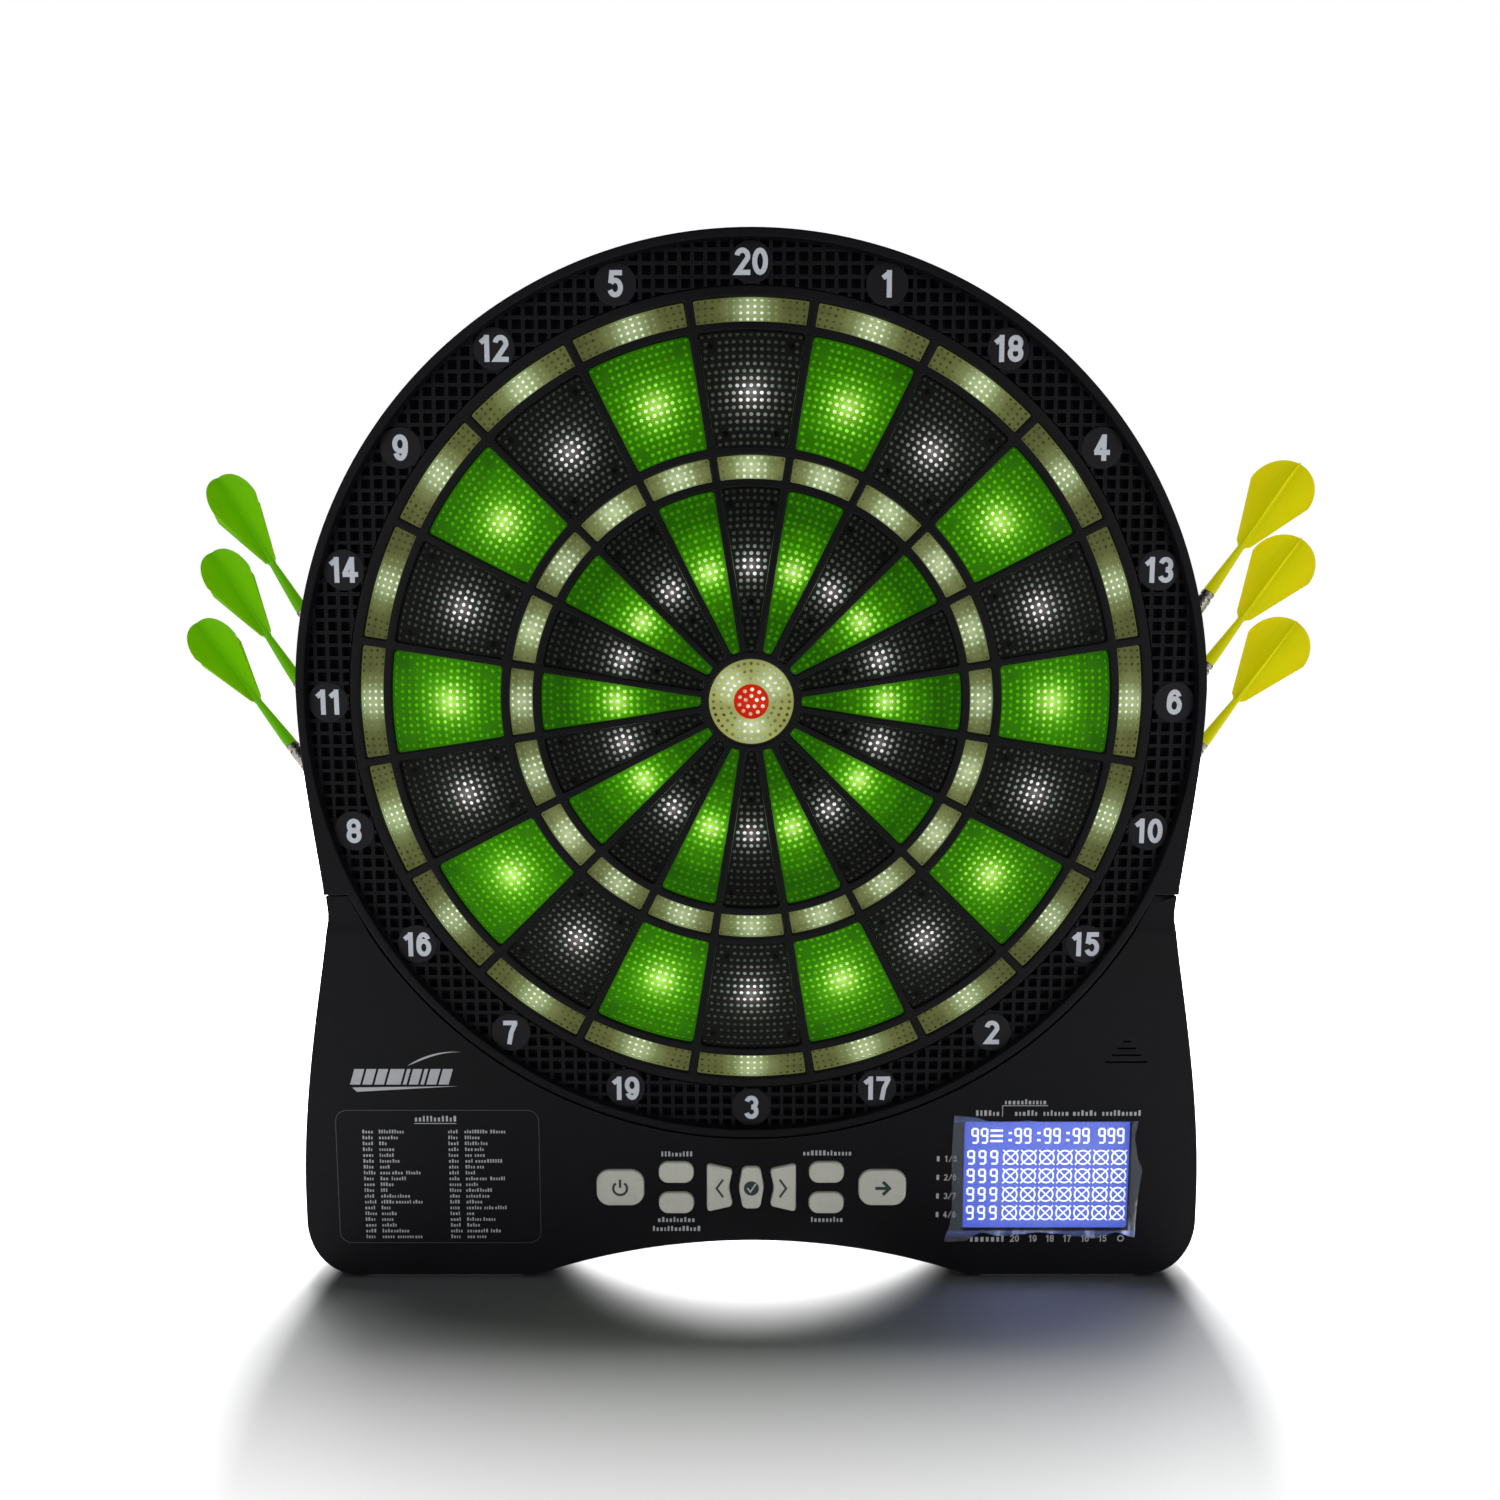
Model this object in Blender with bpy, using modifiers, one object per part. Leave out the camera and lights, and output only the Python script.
"""Electronic soft-tip dartboard with a lit target, a score display and six stored darts.

Units are metres. The origin lies on the flat back, straight behind the bull's-eye. +X is to the
right of a player who faces the board, +Z is up, and the front faces -Y. Angles round the target are
clock angles in degrees: 0 at the top, 90 to the right.
"""

import math

import bmesh
import bpy
from mathutils import Matrix, Vector
from mathutils.geometry import interpolate_bezier

MM = 0.001
GAP = 0.3 * MM

# Target rings: regulation soft-tip size, 394 mm across the doubles
DOUBLE_OUTER_R = 197.0 * MM
DOUBLE_INNER_R = 185.1 * MM
OUTER_SINGLE_R = 181.1 * MM
TRIPLE_OUTER_R = 122.1 * MM
TRIPLE_BAR = 4.0 * MM
TRIPLE_INNER_R = 110.2 * MM
HUB_OUTER_R = 25.3 * MM
HUB_INNER_R = 21.7 * MM
INNER_BULL_R = 8.8 * MM
NUMBERS = (20, 1, 18, 4, 13, 6, 10, 15, 2, 17, 3, 19, 7, 16, 8, 11, 14, 9, 12, 5)
NUMBER_STEP = 360 / len(NUMBERS)
BLACK_NUMBERS = (20, 18, 13, 10, 2, 3, 7, 8, 14, 12)

# Spider: the web of bars between the beds
SPIDER_OUTER_R = 202.0 * MM
BAR_HALF_AT_HUB = 1.6 * MM
BAR_HALF_AT_RIM = 2.0 * MM
FIT = 0.35 * MM

# Depths, as y from the wall face to the front
SHELL_FLOOR_Y = -2.5 * MM
LED_BOARD_Y = (-4.5 * MM, -6.1 * MM)
SLEEVE_Y = -16.5 * MM
PARTING_Y = -22.0 * MM
SENSOR_Y = (-25.4 * MM, -26.2 * MM)
CARRIER_Y = (-27.8 * MM, -29.3 * MM)
SPIDER_Y = (-29.6 * MM, -38.6 * MM)
BED_FACE_Y = -36.6 * MM
TROUGH_FLOOR_Y = (-32.0 * MM, -34.0 * MM)
BADGE_Y = -39.0 * MM
PANEL_FRONT_Y = -42.0 * MM
FRAME_FRONT_Y = -44.0 * MM

# Round frame
FRAME_R = 227.5 * MM
RIM_INNER_R = 223.0 * MM
RIM_WALL_INNER_R = 224.9 * MM
FRAME_HOLE_R = 202.4 * MM
BADGE_R = 9.8 * MM
BADGE_AT_R = 212.7 * MM
WING_TOP_X = 227.3 * MM
SHOULDER_X = 217.6 * MM
WING_BOTTOM_Z = -98.0 * MM
RIM_ROUND = 3.0 * MM

# Lower panel outline
PANEL_ARC_R = 229.0 * MM
SHOULDER_Z = -99.5 * MM
NECK = (216.8 * MM, -108.0 * MM)
HIP = (234.2 * MM, -262.0 * MM)
FOOT_CORNER = (25.2 * MM, 30.0 * MM)
FOOT_Z = -304.0 * MM
ARCH_HALF = 114.0 * MM
ARCH_TOP_Z = -284.8 * MM
PANEL_ROUND = 2.0 * MM

# Rear shell
WALL = 2.4 * MM
SHELL_STEP = 0.8 * MM
RECESS_R = 201.3 * MM
RECESS_TOP = 72.0
RING_WALL_R = (197.7 * MM, 200.2 * MM)
RING_WALL_FRONT_Y = -29.3 * MM
POST_R = 3.0 * MM
POST_AT_R = 150.0 * MM
KEYHOLES = ((0.0, 211.0 * MM), (-150.0 * MM, -190.0 * MM), (150.0 * MM, -190.0 * MM))
KEYHOLE_HEAD_R = 4.5 * MM
KEYHOLE_SLOT = (2.4 * MM, 7.0 * MM)
CABLE_NOTCH_HALF = 15.0 * MM

# Buttons: outline size and place of each, on the front of the panel
CAP_FRONT_Y = -43.6 * MM
CAP_FLANGE_Y = (-38.3 * MM, -39.3 * MM)
CAP_FLANGE = 0.7 * MM
ROW_Z = -255.2 * MM
LARGE_KEY = (25.0 * MM, 19.5 * MM)
SMALL_KEY = (18.4 * MM, 11.5 * MM)
ARROW_KEY = (14.2 * MM, 27.6 * MM)
ENTER_KEY = (13.8 * MM, 23.0 * MM)
LARGE_KEY_X = 68.8 * MM
SMALL_KEY_X = 39.4 * MM
SMALL_KEY_RISE = 8.4 * MM
ARROW_KEY_X = 16.3 * MM

# Display
WINDOW = (87.2 * MM, 59.6 * MM)
WINDOW_AT = (155.0 * MM, -249.2 * MM)
LENS_Y = (-38.0 * MM, -39.3 * MM)
MODULE_Y = (-33.7 * MM, -37.7 * MM)
FILM_Y = (-42.3 * MM, -42.6 * MM)

# Speaker, boards, cable, power socket
SPEAKER_AT = (194.5 * MM, -181.5 * MM)
SPEAKER_SLOTS = (4.6 * MM, 10.2 * MM, 15.4 * MM, 22.2 * MM)
SLOT_PITCH = 3.7 * MM
SLOT_HEIGHT = 1.2 * MM
SPEAKER_R = 18.0 * MM
SPEAKER_DEPTH = 12.0 * MM
MAGNET_R = 9.5 * MM
MEMBRANE = (170.0 * MM, 34.0 * MM)
MEMBRANE_Y = (-35.6 * MM, -36.8 * MM)
MAIN_BOARD = (196.0 * MM, 38.0 * MM)
MAIN_BOARD_Y = (-32.8 * MM, -34.4 * MM)
CABLE_WIDTH = 24.0 * MM
CABLE_THICKNESS = 0.6 * MM
JACK_AT = (150.0 * MM, -262.0 * MM)
JACK_BODY = 12.0 * MM
JACK_NECK_R = 4.6 * MM
JACK_BORE_R = 2.8 * MM
LED_BOARD_R = 194.0 * MM
SENSOR_R = 196.0 * MM

# Foot pads
PAD_X = (122.0 * MM, 204.0 * MM)
PAD_THICKNESS = 1.5 * MM
PAD_Y = (-3.0 * MM, -39.0 * MM)

# Darts: where each shaft meets its barrel, and its lean from the vertical
DART_ENDS = {
    "left_1": (-231.9 * MM, 45.8 * MM, -30.9),
    "left_2": (-235.6 * MM, 9.1 * MM, -32.1),
    "left_3": (-240.8 * MM, -23.8 * MM, -35.8),
    "right_1": (236.0 * MM, 55.0 * MM, 34.0),
    "right_2": (237.2 * MM, 18.5 * MM, 35.4),
    "right_3": (236.4 * MM, -23.3 * MM, 36.0),
}
BARREL_LENGTH = 38.0 * MM
BARREL_R = 3.7 * MM
TIP_LENGTH = 18.0 * MM
SHAFT_LENGTH = 29.0 * MM
FLIGHT_LENGTH = 50.0 * MM
FLIGHT_HALF = 16.4 * MM
FLIGHT_THICKNESS = 0.8 * MM
FLIGHT_ROLL = {"left": 65.0, "right": -20.0}
SHAFT_ROOT_R = 3.1 * MM
SHAFT_NECK_R = 1.6 * MM
SLEEVE_R = 5.2 * MM
SLEEVE_BORE_R = 4.1 * MM
SLEEVE_SPAN = (31.0 * MM, 39.0 * MM)
SLEEVE_WEB = 3.0 * MM

ARC_STEP = 5.0  # degrees a straight piece of a large arc spans

# The solver for the two large shells, where the exact one drops faces
CLOSED = "MANIFOLD"


def clear_scene():
    for item in list(bpy.data.objects):
        bpy.data.objects.remove(item, do_unlink=True)


def new_collection(name):
    made = bpy.data.collections.new(name)
    bpy.context.scene.collection.children.link(made)
    return made


def new_material(name, colour, roughness, metallic=0.0):
    made = bpy.data.materials.new(name)
    made.use_nodes = True
    shader = made.node_tree.nodes["Principled BSDF"]
    shader.inputs["Base Color"].default_value = (*colour, 1.0)
    shader.inputs["Roughness"].default_value = roughness
    shader.inputs["Metallic"].default_value = metallic
    made.diffuse_color = (*colour, 1.0)
    return made


# Outlines: lists of (x, z) points


def clock(radius, degrees, centre=(0.0, 0.0)):
    angle = math.radians(degrees)
    return (centre[0] + radius * math.sin(angle), centre[1] + radius * math.cos(angle))


def arc(radius, start, end, steps=None, centre=(0.0, 0.0)):
    steps = steps or max(1, round(abs(end - start) / ARC_STEP))
    return [clock(radius, start + (end - start) * i / steps, centre) for i in range(steps + 1)]


def circle(radius, steps=72, centre=(0.0, 0.0)):
    return arc(radius, 0.0, 360.0, steps, centre)[:-1]


def bezier(start, handle_1, handle_2, end, steps):
    points = [Vector((*point, 0.0)) for point in (start, handle_1, handle_2, end)]
    return [tuple(point.xy) for point in interpolate_bezier(*points, steps + 1)]


def mirrored(half):
    """A whole outline from its right half, which runs from the top centre to the bottom centre."""
    left = [(-x, z) for x, z in reversed(half) if abs(x) > GAP]
    return half + left


def inset(points, distance):
    """The outline moved inwards by a distance, with mitred corners."""
    area = sum(a[0] * b[1] - b[0] * a[1] for a, b in zip(points, points[1:] + points[:1]))
    distance = math.copysign(distance, area * distance)
    moved = []
    neighbours = zip(points[-1:] + points[:-1], points, points[1:] + points[:1])
    for before, here, after in neighbours:
        first = (Vector(here) - Vector(before)).normalized()
        second = (Vector(after) - Vector(here)).normalized()
        normal = Vector((-first.y - second.y, first.x + second.x)).normalized()
        mitre = normal.dot(Vector((-first.y, first.x)))
        moved.append(tuple(Vector(here) + normal * distance / mitre))
    return moved


def rounded(corners, radius, steps=3):
    """The outline with each corner replaced by a curve that starts a radius away from it."""
    points = []
    neighbours = zip(corners[-1:] + corners[:-1], corners, corners[1:] + corners[:1])
    for before, here, after in neighbours:
        here = Vector(here)
        start = here + (Vector(before) - here).normalized() * radius
        end = here + (Vector(after) - here).normalized() * radius
        reach = 0.45
        points += bezier(start, start.lerp(here, 1 - reach), end.lerp(here, 1 - reach), end, steps)
    return points


def rectangle(width, height, centre=(0.0, 0.0)):
    x, z = centre
    return [
        (x - width / 2, z + height / 2),
        (x + width / 2, z + height / 2),
        (x + width / 2, z - height / 2),
        (x - width / 2, z - height / 2),
    ]


def bar_half(radius):
    share = (radius - HUB_OUTER_R) / (DOUBLE_OUTER_R - HUB_OUTER_R)
    return BAR_HALF_AT_HUB + (BAR_HALF_AT_RIM - BAR_HALF_AT_HUB) * share


def sector(inner_r, outer_r, clearance, steps):
    """The opening between two bars, centred on the top of the target, less a clearance all round."""
    inner_r += clearance
    outer_r -= clearance
    limits = [
        NUMBER_STEP / 2 - math.degrees(math.asin((bar_half(r) + clearance) / r))
        for r in (inner_r, outer_r)
    ]
    outer = arc(outer_r, -limits[1], limits[1], steps[1])
    inner = arc(inner_r, limits[0], -limits[0], steps[0])
    return outer + inner


def turned_outline(points, degrees):
    turn = Matrix.Rotation(-math.radians(degrees), 2)
    return [tuple(turn @ Vector(point)) for point in points]


BEDS = (
    (DOUBLE_INNER_R, DOUBLE_OUTER_R, (4, 4)),
    (TRIPLE_OUTER_R + TRIPLE_BAR, OUTER_SINGLE_R, (3, 4)),
    (TRIPLE_INNER_R, TRIPLE_OUTER_R, (3, 3)),
    (HUB_OUTER_R, TRIPLE_INNER_R - TRIPLE_BAR, (1, 3)),
)


def wing_side():
    """The right edge of the round frame's wing, from the widest point down to the shoulder."""
    return bezier(
        (WING_TOP_X, 0.0),
        (WING_TOP_X, -30 * MM),
        (SHOULDER_X + 2.6 * MM, WING_BOTTOM_Z + 24 * MM),
        (SHOULDER_X, WING_BOTTOM_Z),
        8,
    )


def lower_side():
    """The right edge of the lower panel, from the shoulder to the middle of the arch."""
    side = [(SHOULDER_X, SHOULDER_Z)]
    side += bezier(NECK, (NECK[0], -126 * MM), (HIP[0], -196 * MM), HIP, 10)
    width, height = FOOT_CORNER
    for i in range(9):
        angle = math.radians(90 * i / 8)
        x = HIP[0] - width + width * math.cos(angle)
        side.append((x, FOOT_Z + height - height * math.sin(angle)))
    rise = ARCH_TOP_Z - FOOT_Z
    radius = (ARCH_HALF**2 + rise**2) / (2 * rise)
    centre = (0.0, ARCH_TOP_Z - radius)
    return side + arc(radius, math.degrees(math.asin(ARCH_HALF / radius)), 0.0, 8, centre)


def frame_outline():
    shoulder = 180 - math.degrees(math.acos(-WING_BOTTOM_Z / FRAME_R))
    return mirrored(arc(FRAME_R, 0, 90)[:-1] + wing_side() + arc(FRAME_R, shoulder, 180))


def panel_outline():
    shoulder = 180 - math.degrees(math.acos(-SHOULDER_Z / PANEL_ARC_R))
    top = arc(PANEL_ARC_R, 180, shoulder)
    return mirrored(top + lower_side())


def shell_outline():
    shoulder = 180 - math.degrees(math.acos(-WING_BOTTOM_Z / RECESS_R))
    half = arc(FRAME_R, 0, RECESS_TOP) + arc(RECESS_R, RECESS_TOP, shoulder)
    return inset(mirrored(half + [(SHOULDER_X, WING_BOTTOM_Z)] + lower_side()[1:]), SHELL_STEP)


def key_outlines():
    """Each button's outline round its own centre, and its place on the panel."""
    large = rounded(rectangle(*LARGE_KEY), 7 * MM, 4)
    small = rounded(rectangle(*SMALL_KEY), 5 * MM)
    half_width, half_height = ARROW_KEY[0] / 2, ARROW_KEY[1] / 2
    inner_height = 10.6 * MM
    hollow = 2.2 * MM
    right = rounded(
        [
            (-half_width, inner_height),
            (half_width, half_height),
            (half_width, -half_height),
            (-half_width, -inner_height),
            (-half_width + hollow, 0.0),
        ],
        2.2 * MM,
    )
    left = [(-x, z) for x, z in right]
    waist = ENTER_KEY[0] / 2 - 2 * MM
    enter = rounded(
        [
            (-waist, ENTER_KEY[1] / 2),
            (waist, ENTER_KEY[1] / 2),
            (ENTER_KEY[0] / 2, 0.0),
            (waist, -ENTER_KEY[1] / 2),
            (-waist, -ENTER_KEY[1] / 2),
            (-ENTER_KEY[0] / 2, 0.0),
        ],
        2.4 * MM,
    )
    upper, lower = ROW_Z + SMALL_KEY_RISE, ROW_Z - SMALL_KEY_RISE
    return {
        "button_power": (large, -LARGE_KEY_X, ROW_Z),
        "button_volume": (small, -SMALL_KEY_X, upper),
        "button_handicap": (small, -SMALL_KEY_X, lower),
        "button_left": (left, -ARROW_KEY_X, ROW_Z),
        "button_enter": (enter, 0.0, ROW_Z),
        "button_right": (right, ARROW_KEY_X, ROW_Z),
        "button_reset": (small, SMALL_KEY_X, upper),
        "button_bounce": (small, SMALL_KEY_X, lower),
        "button_next": (large, LARGE_KEY_X, ROW_Z),
    }


def placed(points, x, z):
    return [(px + x, pz + z) for px, pz in points]


# Solids


def hide(item):
    item.hide_render = True
    item.display_type = "WIRE"
    for holder in list(item.users_collection):
        holder.objects.unlink(item)
    CUTTERS.objects.link(item)


def frozen(item):
    """The object with its curve or modifiers turned into a plain welded mesh, in place."""
    bpy.context.view_layer.update()
    graph = bpy.context.evaluated_depsgraph_get()
    mesh = bpy.data.meshes.new_from_object(item.evaluated_get(graph))
    mesh.transform(item.matrix_world)
    shape = bmesh.new()
    shape.from_mesh(mesh)
    bmesh.ops.remove_doubles(shape, verts=shape.verts, dist=0.001 * MM)
    bmesh.ops.recalc_face_normals(shape, faces=shape.faces)
    shape.to_mesh(mesh)
    shape.free()
    name = item.name
    helpers = [m.object for m in item.modifiers if m.type == "BOOLEAN"]
    for old in [*helpers, item]:
        bpy.data.objects.remove(old, do_unlink=True)
    made = bpy.data.objects.new(name, mesh)
    PARTS.objects.link(made)
    return made


def plate(name, loops, back, front):
    """A flat piece between two depths. Its outline and its holes are the loops."""
    curve = bpy.data.curves.new(name, "CURVE")
    curve.dimensions = "2D"
    curve.fill_mode = "BOTH"
    curve.extrude = abs(front - back) / 2
    for loop in loops:
        spline = curve.splines.new("POLY")
        spline.points.add(len(loop) - 1)
        for point, (x, z) in zip(spline.points, loop):
            point.co = (x, z, 0.0, 1.0)
        spline.use_cyclic_u = True
    holder = bpy.data.objects.new(name, curve)
    holder.location.y = (front + back) / 2
    holder.rotation_euler.x = math.pi / 2
    PARTS.objects.link(holder)
    return frozen(holder)


def rod(name, radius, start, end, sides=16, end_radius=None):
    """A cylinder or cone between two points."""
    start, end = Vector(start), Vector(end)
    shape = bmesh.new()
    bmesh.ops.create_cone(
        shape,
        cap_ends=True,
        segments=sides,
        radius1=radius,
        radius2=radius if end_radius is None else end_radius,
        depth=(end - start).length,
    )
    mesh = bpy.data.meshes.new(name)
    shape.to_mesh(mesh)
    shape.free()
    turn = (end - start).to_track_quat("Z", "Y").to_matrix().to_4x4()
    mesh.transform(Matrix.Translation((start + end) / 2) @ turn)
    made = bpy.data.objects.new(name, mesh)
    PARTS.objects.link(made)
    return made


def turned(name, profile, axis, steps, centre=(0.0, 0.0, 0.0)):
    """A turned piece. The profile lists (radius, distance along the axis)."""
    points = [(r, a, 0.0) if axis == "Y" else (r, 0.0, a) for r, a in profile]
    mesh = bpy.data.meshes.new(name)
    mesh.from_pydata(points, [(i, i + 1) for i in range(len(points) - 1)], [])
    made = bpy.data.objects.new(name, mesh)
    PARTS.objects.link(made)
    screw = made.modifiers.new("Turn", "SCREW")
    screw.axis = axis
    screw.steps = steps
    screw.render_steps = steps
    screw.use_merge_vertices = True
    screw.merge_threshold = 0.001 * MM
    made = frozen(made)
    made.location = centre
    return made


def combine(target, others, operation, solver):
    for other in others:
        change = target.modifiers.new(other.name, "BOOLEAN")
        change.operation = operation
        change.solver = solver
        change.object = other
        hide(other)


def cut(target, *others, solver="EXACT"):
    combine(target, others, "DIFFERENCE", solver)


def join(target, *others, solver="EXACT"):
    combine(target, others, "UNION", solver)


def round_front(item, width, steps, chosen):
    """Rounds the edges of the front face whose points satisfy a test."""
    shape = bmesh.new()
    shape.from_mesh(item.data)
    front = min(vert.co.y for vert in shape.verts)
    on_front = [v for v in shape.verts if v.co.y - front < GAP and chosen(v.co.x, v.co.z)]
    edges = [
        edge
        for edge in shape.edges
        if all(v in on_front for v in edge.verts) and edge.calc_face_angle(0.0) > 1.0
    ]
    bmesh.ops.bevel(
        shape, geom=edges, offset=width, segments=steps, profile=0.5, affect="EDGES"
    )
    shape.to_mesh(item.data)
    shape.free()


def finish(item, surface, smooth=False):
    item.data.materials.clear()
    item.data.materials.append(surface)
    if smooth:
        item.data.shade_smooth()
        item.data.set_sharp_from_angle(angle=math.radians(35))


# Target


def bed_mesh():
    """Double, outer single, triple and inner single of one number on their shared carrier."""
    limit = NUMBER_STEP / 2 - 0.35
    outer = arc(DOUBLE_OUTER_R - FIT, -limit, limit, 4)
    inner = arc(HUB_OUTER_R + FIT, 7.4, -7.4, 1)
    carrier = plate("bed", [outer + inner], *CARRIER_Y)
    root = (CARRIER_Y[0] + CARRIER_Y[1]) / 2
    blocks = [sector(inner_r, outer_r, FIT, steps) for inner_r, outer_r, steps in BEDS]
    join(carrier, plate("bed_blocks", blocks, root, BED_FACE_Y))
    shared = frozen(carrier)
    mesh = shared.data
    bpy.data.objects.remove(shared, do_unlink=True)
    return mesh


def make_beds(black, green):
    centre = bpy.data.objects.new("target_centre", None)
    PARTS.objects.link(centre)
    mesh = bed_mesh()
    for i, number in enumerate(NUMBERS):
        bed = bpy.data.objects.new(f"bed_{number:02d}", mesh.copy())
        PARTS.objects.link(bed)
        bed.parent = centre
        bed.rotation_euler.y = math.radians(NUMBER_STEP * i)
        finish(bed, black if number in BLACK_NUMBERS else green)
    bpy.data.meshes.remove(mesh)


def make_bulls(red, cream):
    flange_r = 12.4 * MM
    counterbore = 1.6 * MM
    inner_r = INNER_BULL_R - FIT
    inner = turned(
        "inner_bull",
        [
            (0.0, CARRIER_Y[0]),
            (flange_r, CARRIER_Y[0]),
            (flange_r, CARRIER_Y[1]),
            (inner_r, CARRIER_Y[1]),
            (inner_r, BED_FACE_Y),
            (0.0, BED_FACE_Y),
        ],
        "Y",
        24,
    )
    finish(inner, red, smooth=True)
    ring_r = HUB_INNER_R - FIT
    recess = CARRIER_Y[1] - counterbore
    outer = turned(
        "outer_bull",
        [
            (flange_r + FIT, CARRIER_Y[0]),
            (HUB_OUTER_R - 2 * FIT, CARRIER_Y[0]),
            (HUB_OUTER_R - 2 * FIT, CARRIER_Y[1]),
            (ring_r, CARRIER_Y[1]),
            (ring_r, BED_FACE_Y),
            (INNER_BULL_R, BED_FACE_Y),
            (INNER_BULL_R, recess),
            (flange_r + FIT, recess),
            (flange_r + FIT, CARRIER_Y[0]),
        ],
        "Y",
        32,
    )
    finish(outer, cream, smooth=True)


def make_spider(plastic):
    loops = [circle(SPIDER_OUTER_R), circle(HUB_INNER_R, 32)]
    for i in range(len(NUMBERS)):
        for inner_r, outer_r, steps in BEDS:
            loops.append(turned_outline(sector(inner_r, outer_r, 0.0, steps), NUMBER_STEP * i))
    finish(plate("spider", loops, *SPIDER_Y), plastic)


def make_dial_frame(plastic):
    frame = plate("dial_frame", [frame_outline(), circle(FRAME_HOLE_R)], PARTING_Y, FRAME_FRONT_Y)
    round_front(frame, RIM_ROUND, 2, lambda x, z: math.hypot(x, z) > RIM_INNER_R)
    inside = circle(FRAME_HOLE_R - 2 * MM)
    over = 2 * MM
    trough = [circle(RIM_INNER_R), inside]
    trough = plate("trough_cutter", trough, TROUGH_FLOOR_Y[1], FRAME_FRONT_Y - over)
    hollow = [circle(RIM_WALL_INNER_R), inside]
    hollow = plate("frame_hollow_cutter", hollow, PARTING_Y + over, TROUGH_FLOOR_Y[0])
    cut(frame, trough, hollow, solver=CLOSED)
    centres = [clock(BADGE_AT_R, NUMBER_STEP * i) for i in range(len(NUMBERS))]
    badges = [circle(BADGE_R, 12, centre) for centre in centres]
    badges = plate("number_badges", badges, TROUGH_FLOOR_Y[1] + 1 * MM, BADGE_Y)
    join(frame, badges, solver=CLOSED)
    finish(frame, plastic)


# Casing


def make_control_panel(plastic):
    outline = panel_outline()
    panel = plate("control_panel", [outline], PARTING_Y, PANEL_FRONT_Y)
    round_front(panel, PANEL_ROUND, 1, lambda x, z: math.hypot(x, z) > PANEL_ARC_R + GAP)
    hollow = plate("panel_hollow_cutter", [inset(outline, WALL)], 0.0, PANEL_FRONT_Y + WALL)
    openings = [placed(key, x, z) for key, x, z in key_outlines().values()]
    openings = [inset(opening, -FIT) for opening in openings]
    openings.append(rounded(rectangle(*WINDOW, WINDOW_AT), 1.5 * MM, 2))
    for i, width in enumerate(SPEAKER_SLOTS):
        z = SPEAKER_AT[1] + SLOT_PITCH * (1.5 - i)
        openings.append(rectangle(width, SLOT_HEIGHT, (SPEAKER_AT[0], z)))
    through = plate("panel_opening_cutter", openings, 0.0, PANEL_FRONT_Y - 2 * MM)
    cut(panel, hollow, through)
    finish(panel, plastic)


def dart_point(end_x, end_z, lean, distance):
    """The point on a stored dart's axis at a distance below the end of its shaft."""
    angle = math.radians(lean)
    return (end_x - math.sin(angle) * distance, end_z - math.cos(angle) * distance)


def sleeve_parts(end):
    """A dart sleeve, its web to the ring wall, and its bore."""
    first, last = (dart_point(*end, distance) for distance in SLEEVE_SPAN)
    ends = [(x, SLEEVE_Y, z) for x, z in (first, last)]
    tube = rod("sleeve", SLEEVE_R, *ends)
    roots = [tuple(Vector(p).normalized() * (RING_WALL_R[1] - 1 * MM)) for p in (last, first)]
    half = SLEEVE_WEB / 2
    web = plate("sleeve_web", [[first, last, *roots]], SLEEVE_Y + half, SLEEVE_Y - half)
    over = 8 * MM
    bore_from = dart_point(*end, SLEEVE_SPAN[0] - over)
    bore_to = dart_point(*end, SLEEVE_SPAN[1] + over)
    bore_ends = [(x, SLEEVE_Y, z) for x, z in (bore_from, bore_to)]
    return tube, web, rod("sleeve_bore", SLEEVE_BORE_R, *bore_ends)


def keyhole(x, z):
    """A round hole for a screw's head, with a slot above it for the screw's shank."""
    half, rise = KEYHOLE_SLOT
    reach = math.sqrt(KEYHOLE_HEAD_R**2 - half**2)
    start = math.degrees(math.atan2(half, reach))
    head = arc(KEYHOLE_HEAD_R, start, 360 - start, 14, (x, z))
    return head + arc(half, -90, 90, 6, (x, z + rise))


def make_rear_shell(plastic):
    outline = shell_outline()
    shell = plate("rear_shell", [outline], 0.0, PARTING_Y + GAP)
    cut(shell, plate("shell_hollow_cutter", [inset(outline, WALL)], SHELL_FLOOR_Y, -40 * MM))
    floor_inside = SHELL_FLOOR_Y / 2
    ring = [circle(RING_WALL_R[1]), circle(RING_WALL_R[0])]
    join(shell, plate("ring_wall", ring, floor_inside, RING_WALL_FRONT_Y), solver=CLOSED)
    posts = [circle(POST_R, 10, clock(POST_AT_R, 30 + 60 * i)) for i in range(6)]
    join(shell, plate("board_posts", posts, floor_inside, LED_BOARD_Y[0] + GAP), solver=CLOSED)
    bores = []
    for end in DART_ENDS.values():
        tube, web, bore = sleeve_parts(end)
        join(shell, tube, web, solver=CLOSED)
        bores.append(bore)
    cut(shell, *bores, solver=CLOSED)
    notch = rectangle(2 * CABLE_NOTCH_HALF, 12 * MM, (0.0, -RING_WALL_R[0]))
    cut(shell, plate("cable_notch_cutter", [notch], -16 * MM, -40 * MM), solver=CLOSED)
    holes = [keyhole(*place) for place in KEYHOLES] + [circle(JACK_NECK_R + GAP, 20, JACK_AT)]
    holes = plate("shell_hole_cutter", holes, 1 * MM, SHELL_FLOOR_Y - 1 * MM)
    cut(shell, holes, solver=CLOSED)
    finish(shell, plastic)


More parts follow.
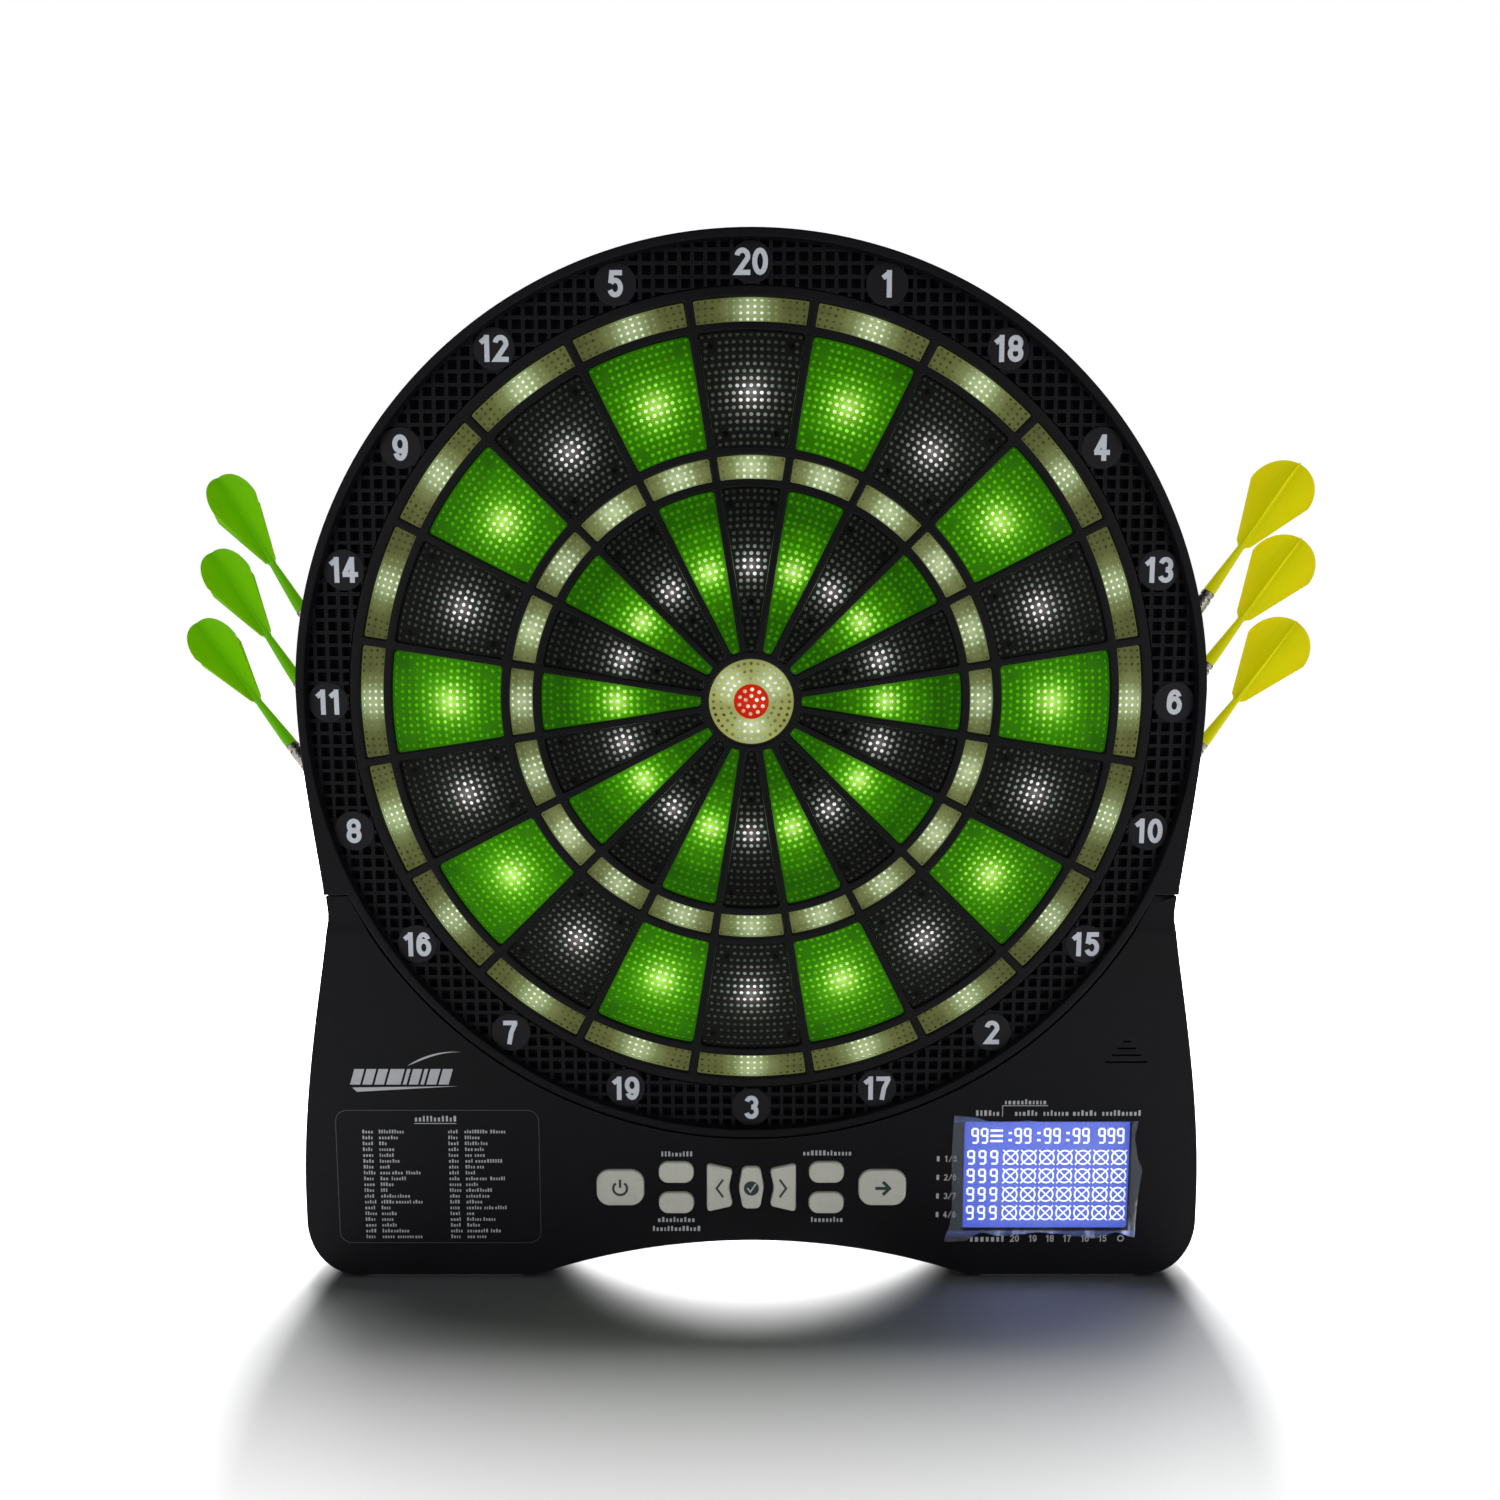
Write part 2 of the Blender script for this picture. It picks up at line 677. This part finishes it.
def make_foot_pads(rubber):
    for side, sign in (("left", -1), ("right", 1)):
        width = PAD_X[1] - PAD_X[0]
        centre = (sign * (PAD_X[0] + PAD_X[1]) / 2, FOOT_Z - GAP - PAD_THICKNESS / 2)
        outline = rectangle(width, PAD_THICKNESS, centre)
        finish(plate(f"foot_pad_{side}", [outline], *PAD_Y), rubber)


# Buttons and electronics


def make_buttons(plastic):
    for name, (outline, x, z) in key_outlines().items():
        cap = plate(name, [outline], CAP_FLANGE_Y[0], CAP_FRONT_Y)
        round_front(cap, 0.7 * MM, 1, lambda px, pz: True)
        flange = plate(f"{name}_flange", [inset(outline, -CAP_FLANGE)], *CAP_FLANGE_Y)
        join(cap, flange)
        button = frozen(cap)
        button.location = (x, 0.0, z)
        finish(button, plastic)


def make_display(clear, glass, film):
    margin = 8 * MM
    lens_size = [side + margin for side in WINDOW]
    finish(plate("lcd_lens", [rectangle(*lens_size, WINDOW_AT)], *LENS_Y), clear)
    finish(plate("lcd_module", [rectangle(*lens_size, WINDOW_AT)], *MODULE_Y), glass)
    width, height = WINDOW
    ragged = [
        (-0.55, 0.58), (-0.48, 0.56), (-0.44, 0.52), (0.50, 0.51), (0.55, 0.47), (0.56, 0.20),
        (0.60, 0.05), (0.57, -0.10), (0.55, -0.55), (0.50, -0.56), (0.35, -0.53), (0.22, -0.56),
        (0.05, -0.53), (-0.28, -0.55), (-0.42, -0.52), (-0.44, -0.61), (-0.62, -0.61),
        (-0.58, -0.36), (-0.57, 0.30),
    ]
    outline = [(WINDOW_AT[0] + u * width, WINDOW_AT[1] + v * height) for u, v in ragged]
    finish(plate("lcd_film", [outline], *FILM_Y), film)


def make_boards(rubber, board, sheet, flex):
    row = (0.0, ROW_Z)
    finish(plate("keypad_membrane", [rectangle(*MEMBRANE, row)], *MEMBRANE_Y), rubber)
    finish(plate("main_board", [rectangle(*MAIN_BOARD, row)], *MAIN_BOARD_Y), board)
    finish(plate("led_board", [circle(LED_BOARD_R, 64)], *LED_BOARD_Y), board)
    finish(plate("sensor_sheet", [circle(SENSOR_R, 64)], *SENSOR_Y), sheet)
    make_ribbon_cable(flex)


def make_ribbon_cable(flex):
    """A flat cable from the back of the sensor sheet, past the frame, to the main board."""
    start_y = SENSOR_Y[0] + CABLE_THICKNESS
    end_y = MAIN_BOARD_Y[0] + CABLE_THICKNESS
    low_y = PARTING_Y + 3.4 * MM
    path = [
        (start_y, -184 * MM),
        (start_y, -190 * MM),
        (low_y, -196 * MM),
        (low_y, -238 * MM),
        (end_y, -244 * MM),
        (end_y, -250 * MM),
    ]
    half = CABLE_THICKNESS / 2
    back = [(y + half, z) for y, z in path]
    front = [(y - half, z) for y, z in reversed(path)]
    strip = plate("ribbon_cable", [back + front], -CABLE_WIDTH / 2, CABLE_WIDTH / 2)
    strip.data.transform(Matrix.Rotation(math.pi / 2, 4, "Z"))
    finish(strip, flex)


def make_speaker(metal):
    front = PANEL_FRONT_Y + WALL + 0.8 * MM
    profile = [
        (0.0, front + SPEAKER_DEPTH),
        (MAGNET_R, front + SPEAKER_DEPTH),
        (MAGNET_R, front + SPEAKER_DEPTH / 2),
        (13 * MM, front + 3 * MM),
        (SPEAKER_R, front + 2 * MM),
        (SPEAKER_R, front),
        (SPEAKER_R - 2.5 * MM, front),
        (8 * MM, front + 2 * MM),
        (0.0, front + 1 * MM),
    ]
    centre = (SPEAKER_AT[0], 0.0, SPEAKER_AT[1])
    finish(turned("speaker", profile, "Y", 24, centre), metal, smooth=True)


def make_power_socket(plastic):
    back = SHELL_FLOOR_Y - GAP
    body = plate("power_socket", [rectangle(JACK_BODY, JACK_BODY, JACK_AT)], back, back - 11 * MM)
    neck = plate("socket_neck", [circle(JACK_NECK_R, 20, JACK_AT)], -0.4 * MM, back - 1 * MM)
    bore = plate("socket_bore", [circle(JACK_BORE_R, 16, JACK_AT)], 1 * MM, back - 9 * MM)
    join(body, neck)
    cut(body, bore)
    finish(body, plastic)


# Darts: each is built upright, with the end of its shaft at the origin and its flight above


def flight_outline():
    """The pear-shaped outline of a flat pair of vanes, along the dart's axis."""
    tail = SHAFT_LENGTH + FLIGHT_LENGTH
    wide = (FLIGHT_HALF, tail - 15 * MM)
    above = ((FLIGHT_HALF * 0.8, tail - 1 * MM), (FLIGHT_HALF, tail - 6 * MM))
    below = ((FLIGHT_HALF, tail - 24 * MM), (5 * MM, SHAFT_LENGTH + 4 * MM))
    upper = bezier((3 * MM, tail), *above, wide, 4)
    lower = bezier(wide, *below, (2 * MM, SHAFT_LENGTH), 4)
    half = [(0.0, tail), *upper, *lower[1:], (0.0, SHAFT_LENGTH - 1 * MM)]
    return mirrored(half)


def flight_mesh(roll):
    """Two crossed pairs of vanes on their shaft, turned round its axis."""
    vane = flight_outline()
    half = FLIGHT_THICKNESS / 2
    first = plate("flight", [vane], half, -half)
    second = plate("flight_vane", [vane], half, -half)
    second.rotation_euler.z = math.pi / 2
    ends = ((0, 0, GAP), (0, 0, SHAFT_LENGTH + 6 * MM))
    shaft = rod("shaft", SHAFT_ROOT_R, *ends, 12, SHAFT_NECK_R)
    join(first, second, shaft)
    made = frozen(first)
    made.data.transform(Matrix.Rotation(math.radians(roll), 4, "Z"))
    return made.data


def barrel_mesh():
    profile = [
        (0.0, 0.0),
        (BARREL_R - 0.3 * MM, 0.0),
        (BARREL_R - 0.3 * MM, -2.5 * MM),
        (BARREL_R, -3.5 * MM),
        (BARREL_R, 8 * MM - BARREL_LENGTH),
        (2.2 * MM, -BARREL_LENGTH),
        (1.2 * MM, -BARREL_LENGTH - 1 * MM),
        (0.8 * MM, 2 * MM - BARREL_LENGTH - TIP_LENGTH),
        (0.0, -BARREL_LENGTH - TIP_LENGTH),
    ]
    return turned("barrel", profile, "Z", 12).data


def make_darts(green, yellow, metal):
    flights = {side: flight_mesh(roll) for side, roll in FLIGHT_ROLL.items()}
    barrel = barrel_mesh()
    for item in list(PARTS.objects):
        if item.data in (*flights.values(), barrel):
            bpy.data.objects.remove(item, do_unlink=True)
    for place, (x, z, lean) in DART_ENDS.items():
        holder = bpy.data.objects.new(f"dart_{place}_axis", None)
        holder.location = (x, SLEEVE_Y, z)
        holder.rotation_euler.y = math.radians(lean)
        PARTS.objects.link(holder)
        side = place.split("_")[0]
        plastic = {"left": green, "right": yellow}[side]
        for piece, mesh, surface in (("flight", flights[side], plastic), ("barrel", barrel, metal)):
            node = bpy.data.objects.new(f"dart_{place}_{piece}", mesh.copy())
            node.parent = holder
            PARTS.objects.link(node)
            finish(node, surface, smooth=piece == "barrel")


def make_all():
    black = new_material("black_casing", (0.011, 0.011, 0.013), 0.5)
    grey = new_material("grey_button", (0.35, 0.35, 0.31), 0.55)
    rubber = new_material("grey_rubber", (0.25, 0.25, 0.24), 0.8)
    green = new_material("green_bed", (0.06, 0.4, 0.01), 0.4)
    dark = new_material("black_bed", (0.015, 0.017, 0.016), 0.4)
    red = new_material("red_bull", (0.6, 0.03, 0.01), 0.4)
    cream = new_material("cream_bull", (0.55, 0.56, 0.25), 0.4)
    metal = new_material("nickel", (0.55, 0.53, 0.5), 0.3, 1.0)
    board = new_material("circuit_board", (0.02, 0.16, 0.06), 0.45)
    sheet = new_material("clear_sheet", (0.7, 0.75, 0.72), 0.2)
    flex = new_material("flex_cable", (0.75, 0.75, 0.72), 0.5)
    glass = new_material("blue_display", (0.12, 0.14, 0.8), 0.15)
    dart_green = new_material("green_flight", (0.25, 0.7, 0.0), 0.35)
    dart_yellow = new_material("yellow_flight", (0.8, 0.75, 0.0), 0.35)

    make_rear_shell(black)
    make_dial_frame(black)
    make_control_panel(black)
    make_spider(black)
    make_beds(dark, green)
    make_bulls(red, cream)
    make_buttons(grey)
    make_display(sheet, glass, sheet)
    make_boards(rubber, board, sheet, flex)
    make_speaker(metal)
    make_power_socket(black)
    make_foot_pads(rubber)
    make_darts(dart_green, dart_yellow, metal)


clear_scene()
PARTS = new_collection("electronic_dartboard")
CUTTERS = new_collection("cutters")
make_all()
